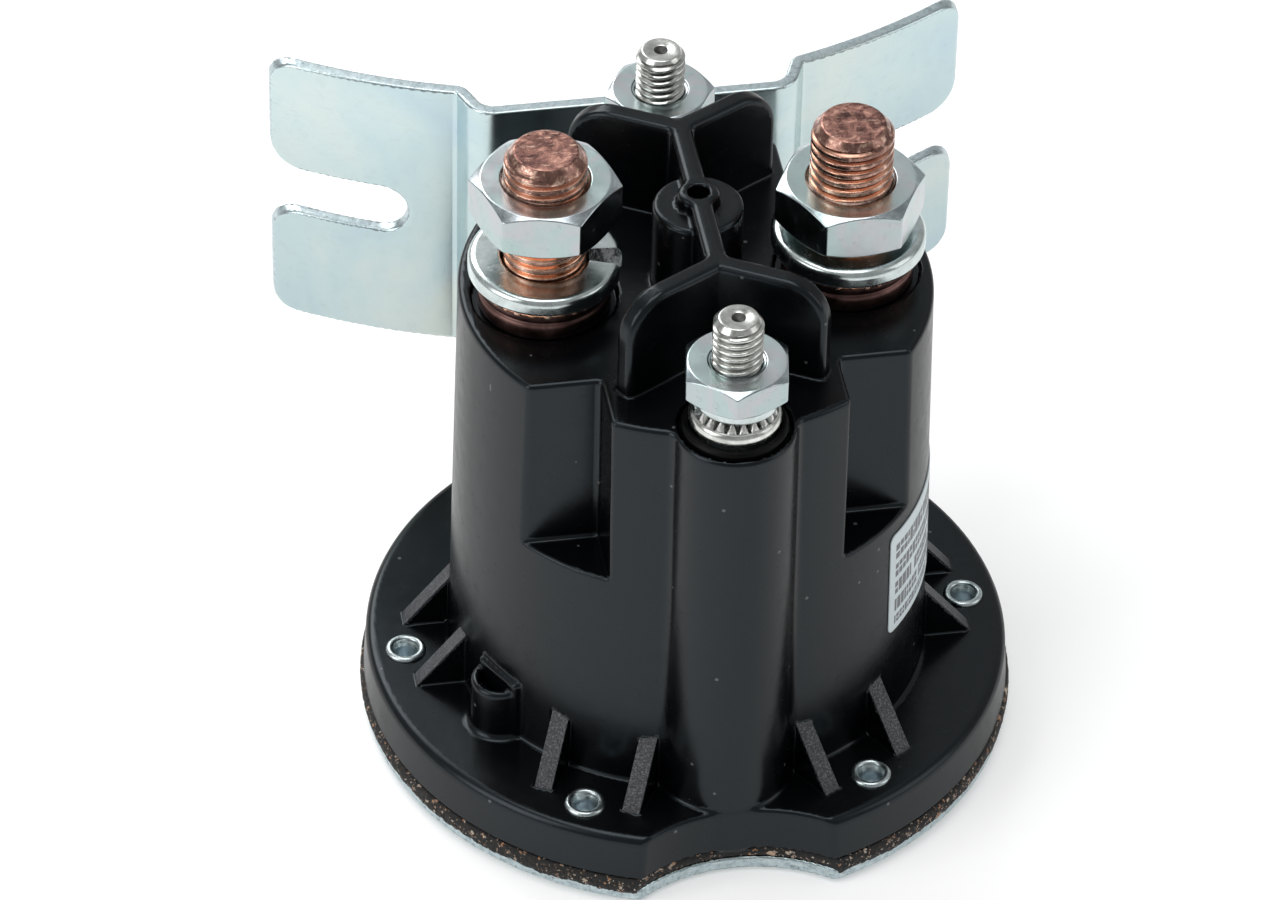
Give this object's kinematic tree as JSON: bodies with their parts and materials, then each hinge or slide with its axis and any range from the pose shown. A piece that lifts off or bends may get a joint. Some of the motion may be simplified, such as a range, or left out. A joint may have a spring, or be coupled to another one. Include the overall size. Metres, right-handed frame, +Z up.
{
  "type": "starter relay",
  "caption": "Sealed direct-current starter relay: round moulded body with insulating barriers, copper power studs, plated coil studs and a folded mounting bracket with open slots.",
  "frame": {"origin": "centre of the underside of the round base plate", "axes": "+Z up along the coil axis towards the terminals, +X towards the right main stud, +Y towards the mounting bracket (the back)"},
  "size_m": [0.0706, 0.0786, 0.0694],
  "materials": {
    "nylon": "semi-matte moulded, black",
    "plated_sheet": "pale bluish zinc plate",
    "plated_hardware": "bright zinc plate",
    "copper": "bare copper, slightly browned",
    "plated_stud": "bright tin plate",
    "rivet": "plated, bright rolled rim",
    "cork_rubber": "brown-black with cork flecks",
    "seal_rubber": "glossy black",
    "label": "pale coated paper",
    "bobbin_plastic": "natural moulded",
    "winding": "enamelled copper wire",
    "tape": "amber film",
    "magnet_steel": "soft magnet steel, plated",
    "spring_steel": "bright spring wire",
    "clip_steel": "phosphated spring steel",
    "insulation": "brown phenolic"
  },
  "bodies": {
    "relay": {"housing": "nylon", "mounting_bracket": "plated_sheet", "base_gasket": "cork_rubber", "rim_rivets": "rivet", "rating_label": "label", "main_stud_left": "copper", "main_stud_right": "copper", "main_lock_washer_left": "plated_hardware", "main_lock_washer_right": "plated_hardware", "main_nut_left": "plated_hardware", "main_nut_right": "plated_hardware", "coil_stud_front": "plated_stud", "coil_stud_rear": "plated_stud", "coil_stud_seals": "seal_rubber", "coil_lock_washer_front": "plated_hardware", "coil_lock_washer_rear": "plated_hardware", "coil_nut_front": "plated_hardware", "coil_nut_rear": "plated_hardware", "coil_bobbin": "bobbin_plastic", "coil_winding": "winding", "coil_tape": "tape", "coil_lead_front": "winding", "coil_lead_rear": "winding", "yoke_cup": "magnet_steel", "flux_plate": "magnet_steel", "pole_core": "magnet_steel", "return_spring": "spring_steel"},
    "plunger": {"plunger": "magnet_steel", "push_rod": "spring_steel", "spring_seat": "clip_steel", "rod_clip": "clip_steel", "return_spring_seat": "bobbin_plastic", "overtravel_spring": "spring_steel"},
    "bridge": {"contact_bridge": "copper", "bridge_bush": "insulation", "bridge_insulator": "insulation"}
  },
  "joints": [
    {"name": "plunger_slide", "type": "slide", "parent": "relay", "child": "plunger", "axis": [0, 0, 1], "range_m": [0, 0.0022], "stiffness_N_per_m": 2100, "springref_m": -0.0015, "deforming": ["return_spring"]},
    {"name": "bridge_overtravel", "type": "slide", "parent": "plunger", "child": "bridge", "axis": [0, 0, -1], "range_m": [0, 0.0006], "deforming": ["overtravel_spring"]}
  ],
  "couplings": [
    {"joint": "bridge_overtravel", "follows": "plunger_slide", "ratio": 0.2727}
  ]
}
